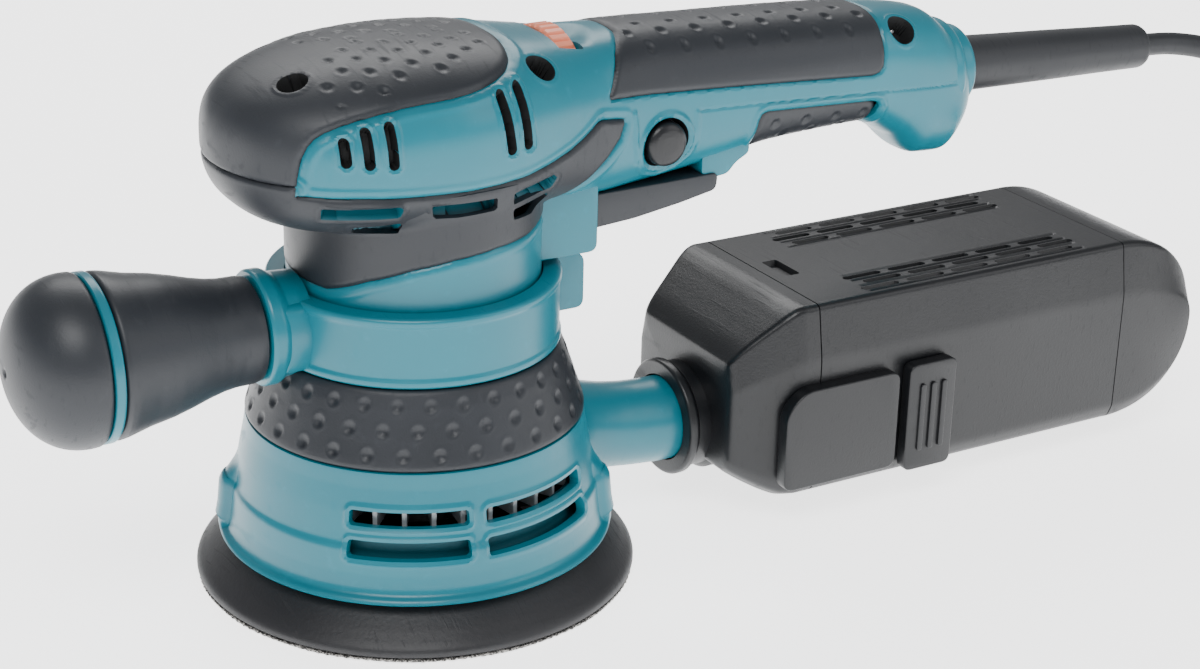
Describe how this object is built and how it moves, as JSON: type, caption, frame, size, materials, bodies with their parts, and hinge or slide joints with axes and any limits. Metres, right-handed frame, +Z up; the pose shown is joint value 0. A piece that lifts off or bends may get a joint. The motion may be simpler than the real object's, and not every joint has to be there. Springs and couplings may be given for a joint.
{
  "type": "orbital sander",
  "caption": "Corded random-orbit sander with a round pad, dimpled skirt, side louvres, front grip on a collar, rear handle with trigger, and a clip-on dust box.",
  "frame": {"origin": "where the motor's axis meets the face of the pad that the sander rests on", "axes": "+X to the rear along the handle and dust box, +Z up the motor's axis, +Y to the side away from the lock button"},
  "size_m": [0.5525, 0.1857, 0.1532],
  "materials": {
    "teal_plastic": "satin moulded teal plastic",
    "black_plastic": "satin black plastic",
    "soft_rubber": "soft charcoal overmould",
    "cord_rubber": "matt cord rubber",
    "dial_plastic": "salmon plastic",
    "foam": "firm foam rubber",
    "abrasive": "short hook-and-loop pile",
    "steel": "ground steel",
    "copper": null,
    "cast_alloy": "cast light alloy",
    "carbon": "pressed carbon",
    "filter_paper": "pleated paper"
  },
  "bodies": {
    "housing": {"housing_left": "teal_plastic", "housing_right": "teal_plastic", "head_cap": "soft_rubber", "head_band": "soft_rubber", "grip_cover": "soft_rubber", "grip_wedge": "soft_rubber", "dial_axle": "steel", "speed_controller": "black_plastic", "power_switch": "black_plastic", "motor_stator": "cast_alloy", "brush_left": "carbon", "brush_right": "carbon", "upper_bearing": "steel", "lower_bearing": "steel", "skirt": "teal_plastic", "skirt_cone": "soft_rubber", "skirt_screw_1": "steel", "skirt_screw_2": "steel", "skirt_screw_3": "steel", "skirt_screw_4": "steel", "housing_screw_1": "steel", "housing_screw_2": "steel", "grip_collar": "teal_plastic", "collar_bolt": "steel", "cord_guard": "cord_rubber", "cord": "cord_rubber", "cord_coil": "cord_rubber", "plug": "cord_rubber"},
    "rotor": {"motor_armature": "copper", "motor_commutator": "copper", "motor_shaft": "steel", "cooling_fan": "cast_alloy", "counterweight": "steel"},
    "pad": {"hook_face": "abrasive", "pad_cushion": "foam", "pad_plate": "black_plastic", "pad_bearing": "steel"},
    "dial": {"speed_dial": "dial_plastic"},
    "trigger_lever": {"trigger": "soft_rubber"},
    "lock": {"lock_button": "black_plastic"},
    "front_grip": {"grip_handle": "soft_rubber", "grip_ring": "teal_plastic", "grip_dome": "soft_rubber", "grip_stud": "steel"},
    "dust_inlet": {"inlet_sleeve": "black_plastic", "box_cover": "black_plastic"},
    "dust_bin": {"box_body": "black_plastic", "box_end": "black_plastic", "box_filter": "filter_paper"},
    "catch_left": {"latch_left": "black_plastic"},
    "catch_right": {"latch_right": "black_plastic"}
  },
  "joints": [
    {"name": "motor_spin", "type": "hinge", "parent": "housing", "child": "rotor", "pos_m": [0, 0, 0.08], "axis": [0, 0, 1], "continuous": true},
    {"name": "pad_spin", "type": "hinge", "parent": "rotor", "child": "pad", "pos_m": [0.0007, 0.00121, 0.02], "axis": [0, 0, 1], "continuous": true},
    {"name": "dial_turn", "type": "hinge", "parent": "housing", "child": "dial", "pos_m": [0.0395, 0, 0.1312], "axis": [1, 0, 0], "range_deg": [-150, 150]},
    {"name": "trigger_pull", "type": "hinge", "parent": "housing", "child": "trigger_lever", "pos_m": [0.1385, 0, 0.118], "axis": [0, 1, 0], "range_deg": [0, 5.5], "stiffness_Nm_per_rad": 0.6, "springref_deg": -2.86},
    {"name": "lock_press", "type": "slide", "parent": "housing", "child": "lock", "axis": [0, 1, 0], "range_m": [0, 0.0025], "stiffness_N_per_m": 400, "springref_m": -0.001},
    {"name": "grip_turn", "type": "hinge", "parent": "housing", "child": "front_grip", "pos_m": [-0.0475, 0, 0.079], "axis": [1, 0, 0], "range_deg": [-180, 180]},
    {"name": "dust_box_slide", "type": "slide", "parent": "housing", "child": "dust_inlet", "axis": [1, 0, 0], "range_m": [0, 0.03]},
    {"name": "dust_bin_slide", "type": "slide", "parent": "dust_inlet", "child": "dust_bin", "axis": [1, 0, 0], "range_m": [0, 0.05]},
    {"name": "catch_left_turn", "type": "hinge", "parent": "dust_bin", "child": "catch_left", "pos_m": [0.16, -0.0345, 0.0275], "axis": [0, 0, 1], "range_deg": [0, 25], "stiffness_Nm_per_rad": 0.05, "springref_deg": -5.73},
    {"name": "catch_right_turn", "type": "hinge", "parent": "dust_bin", "child": "catch_right", "pos_m": [0.16, 0.0345, 0.0275], "axis": [0, 0, -1], "range_deg": [0, 25], "stiffness_Nm_per_rad": 0.05, "springref_deg": -5.73}
  ]
}
